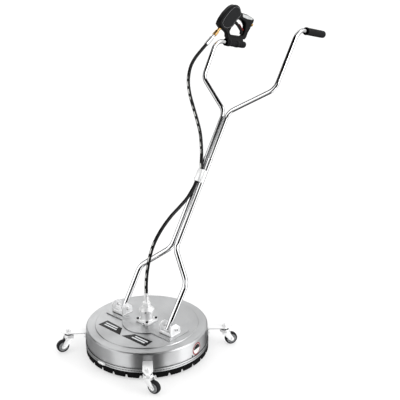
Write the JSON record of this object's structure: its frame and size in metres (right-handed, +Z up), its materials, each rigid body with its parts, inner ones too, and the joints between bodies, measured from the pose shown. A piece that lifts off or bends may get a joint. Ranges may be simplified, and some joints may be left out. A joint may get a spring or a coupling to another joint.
{
  "type": "rotary surface cleaner",
  "caption": "Rotary surface cleaner: round stainless deck with brush skirt on swivel casters, spinning spray bar below, and a two-armed tube push handle with a trigger gun and hose.",
  "frame": {"origin": "on the floor under the machine, half way along and across its whole outline", "axes": "+Z up; +Y towards the operator, who stands behind the handle; +X is right as seen from the front, looking along +Y, and left and right in the node names are meant that way, so the gun is on the left, at -X"},
  "size_m": [0.578, 1.2434, 1.349],
  "materials": {
    "brushed_stainless": "brushed stainless sheet, satin, with fine circular and straight brushing",
    "cast_swivel": "machined and bead-blasted steel, satin",
    "bearing_steel": "ground bearing steel",
    "zinc_plate": "bright zinc plate on pressed steel",
    "chrome_tube": "bright chrome plated tube",
    "brass": "machined brass",
    "bristle": "dense black nylon bristle",
    "wheel_tread": "dark grey moulded tread",
    "black_rubber": "soft black rubber grip",
    "hose_rubber": "smooth black hose cover with a faint lay line",
    "black_plastic": "black moulded nylon, fine spark grain",
    "red_plastic": "red moulded plastic"
  },
  "bodies": {
    "deck": {"deck_shell": "brushed_stainless", "rim_band": "brushed_stainless", "brush_skirt": "bristle", "top_plate": "brushed_stainless", "swivel_flange": "cast_swivel", "swivel_body": "cast_swivel", "swivel_collar": "cast_swivel", "swivel_nut": "cast_swivel", "swivel_bearing_lower": "bearing_steel", "swivel_bearing_upper": "bearing_steel", "hose_end_lower": "zinc_plate", "flange_bolt_1": "zinc_plate", "flange_bolt_2": "zinc_plate", "flange_bolt_3": "zinc_plate", "flange_bolt_4": "zinc_plate", "caster_arm_front_left": "zinc_plate", "caster_stem_front_left": "zinc_plate", "caster_arm_front_right": "zinc_plate", "caster_stem_front_right": "zinc_plate", "caster_arm_rear_right": "zinc_plate", "caster_stem_rear_right": "zinc_plate", "caster_arm_rear_left": "zinc_plate", "caster_stem_rear_left": "zinc_plate", "handle_bracket_left": "zinc_plate", "pivot_bolt_left": "zinc_plate", "handle_bracket_right": "zinc_plate", "pivot_bolt_right": "zinc_plate"},
    "rotor": {"rotor_shaft": "bearing_steel", "rotor_hub": "brass", "spray_arm_a": "chrome_tube", "spray_arm_b": "chrome_tube", "spray_nozzle_a": "cast_swivel", "spray_nozzle_b": "cast_swivel"},
    "caster_front_left": {"caster_fork_front_left": "zinc_plate", "caster_axle_front_left": "zinc_plate"},
    "wheel_front_left": {"caster_wheel_front_left": "wheel_tread"},
    "caster_front_right": {"caster_fork_front_right": "zinc_plate", "caster_axle_front_right": "zinc_plate"},
    "wheel_front_right": {"caster_wheel_front_right": "wheel_tread"},
    "caster_rear_right": {"caster_fork_rear_right": "zinc_plate", "caster_axle_rear_right": "zinc_plate"},
    "wheel_rear_right": {"caster_wheel_rear_right": "wheel_tread"},
    "caster_rear_left": {"caster_fork_rear_left": "zinc_plate", "caster_axle_rear_left": "zinc_plate"},
    "wheel_rear_left": {"caster_wheel_rear_left": "wheel_tread"},
    "handle": {"lower_tube_left": "chrome_tube", "upper_tube_left": "chrome_tube", "grip_left": "black_rubber", "lower_tube_right": "chrome_tube", "upper_tube_right": "chrome_tube", "grip_right": "black_rubber", "hose_clamp": "zinc_plate", "hose": "hose_rubber", "gun_body": "black_plastic", "gun_outlet": "brass", "hose_end_upper": "zinc_plate", "gun_inlet": "brass", "gun_rest": "black_plastic"},
    "trigger": {"gun_trigger": "black_plastic"},
    "safety_lock": {"trigger_lock": "red_plastic"}
  },
  "joints": [
    {"name": "rotor_spin", "type": "hinge", "parent": "deck", "child": "rotor", "pos_m": [0, -0.33412, 0.077], "axis": [0, 0, 1], "continuous": true},
    {"name": "caster_swivel_front_left", "type": "hinge", "parent": "deck", "child": "caster_front_left", "pos_m": [-0.23299, -0.56711, 0.07], "axis": [0, 0, 1], "continuous": true},
    {"name": "wheel_spin_front_left", "type": "hinge", "parent": "caster_front_left", "child": "wheel_front_left", "pos_m": [-0.24291, -0.59436, 0.027], "axis": [0.9397, -0.342, 0], "continuous": true},
    {"name": "caster_swivel_front_right", "type": "hinge", "parent": "deck", "child": "caster_front_right", "pos_m": [0.23299, -0.56711, 0.07], "axis": [0, 0, 1], "continuous": true},
    {"name": "wheel_spin_front_right", "type": "hinge", "parent": "caster_front_right", "child": "wheel_front_right", "pos_m": [0.26171, -0.56308, 0.027], "axis": [-0.1392, 0.9903, 0], "continuous": true},
    {"name": "caster_swivel_rear_right", "type": "hinge", "parent": "deck", "child": "caster_rear_right", "pos_m": [0.23299, -0.10113, 0.07], "axis": [0, 0, 1], "continuous": true},
    {"name": "wheel_spin_rear_right", "type": "hinge", "parent": "caster_rear_right", "child": "wheel_rear_right", "pos_m": [0.24749, -0.07601, 0.027], "axis": [-0.866, 0.5, 0], "continuous": true},
    {"name": "caster_swivel_rear_left", "type": "hinge", "parent": "deck", "child": "caster_rear_left", "pos_m": [-0.23299, -0.10113, 0.07], "axis": [0, 0, 1], "continuous": true},
    {"name": "wheel_spin_rear_left", "type": "hinge", "parent": "caster_rear_left", "child": "wheel_rear_left", "pos_m": [-0.26171, -0.09709, 0.027], "axis": [-0.1392, -0.9903, 0], "continuous": true},
    {"name": "handle_tilt", "type": "hinge", "parent": "deck", "child": "handle", "pos_m": [0, -0.33912, 0.148], "axis": [1, 0, 0], "range_deg": [-22, 28], "deforming": ["hose"]},
    {"name": "trigger_squeeze", "type": "hinge", "parent": "handle", "child": "trigger", "pos_m": [-0.20325, 0.46688, 1.272], "axis": [1, 0, 0], "range_deg": [0, 9], "stiffness_Nm_per_rad": 1.2, "springref_deg": -5.73},
    {"name": "lock_flip", "type": "hinge", "parent": "trigger", "child": "safety_lock", "pos_m": [-0.20325, 0.54088, 1.227], "axis": [-1, 0, 0], "range_deg": [0, 15]}
  ]
}
